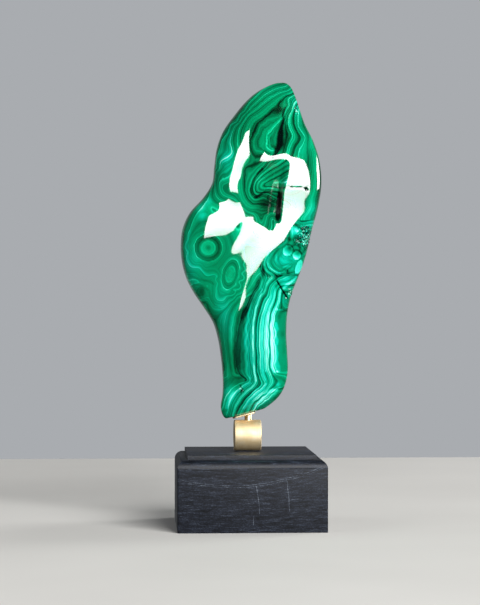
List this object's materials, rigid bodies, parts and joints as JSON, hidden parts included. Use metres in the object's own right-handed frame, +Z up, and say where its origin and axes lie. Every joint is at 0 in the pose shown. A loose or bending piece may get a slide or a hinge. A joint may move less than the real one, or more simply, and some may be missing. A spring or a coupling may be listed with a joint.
{
  "type": "malachite freeform",
  "caption": "Tall polished banded green stone, shaped like a twisted flame, held upright on a brass pin and drum over a square dark wooden base.",
  "frame": {"origin": "middle of the flat underside of the wooden base", "axes": "+Z up, from the base to the tip of the stone; -Y is the pictured front; +X to the viewer's right"},
  "size_m": [0.1026, 0.1016, 0.3124],
  "materials": {
    "malachite": "polished",
    "brass": "polished",
    "ebonised_wood": "satin"
  },
  "bodies": {
    "root": {"malachite_stone": "malachite", "brass_plate": "brass", "brass_pin": "brass", "brass_drum": "brass", "wood_base": "ebonised_wood"}
  },
  "joints": []
}
